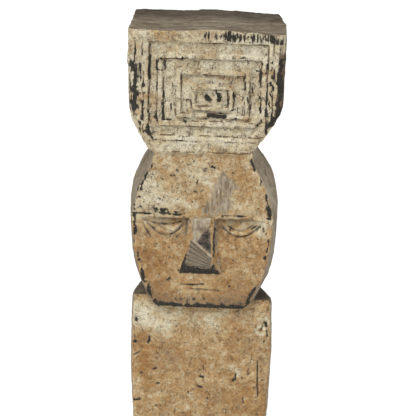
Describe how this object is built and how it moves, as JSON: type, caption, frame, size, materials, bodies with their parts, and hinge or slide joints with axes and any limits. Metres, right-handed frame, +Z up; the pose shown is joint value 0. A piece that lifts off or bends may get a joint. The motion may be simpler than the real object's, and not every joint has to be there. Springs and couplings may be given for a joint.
{
  "type": "carved stone pillar statue",
  "caption": "Free-standing carved stone pillar figure: tall headdress of nested frames, flat shield face, plank body and low base.",
  "frame": {"origin": "the middle of the base's underside, on the surface that the statue stands on", "axes": "+Z up the figure, the face looks along -Y, +X to the right of someone who faces the statue"},
  "size_m": [0.25, 0.172, 0.93],
  "materials": {
    "weathered_stone": "carved soft limestone with a worn cream and ochre skin over a near-black patina"
  },
  "bodies": {
    "root": {"figure": "weathered_stone"}
  },
  "joints": []
}
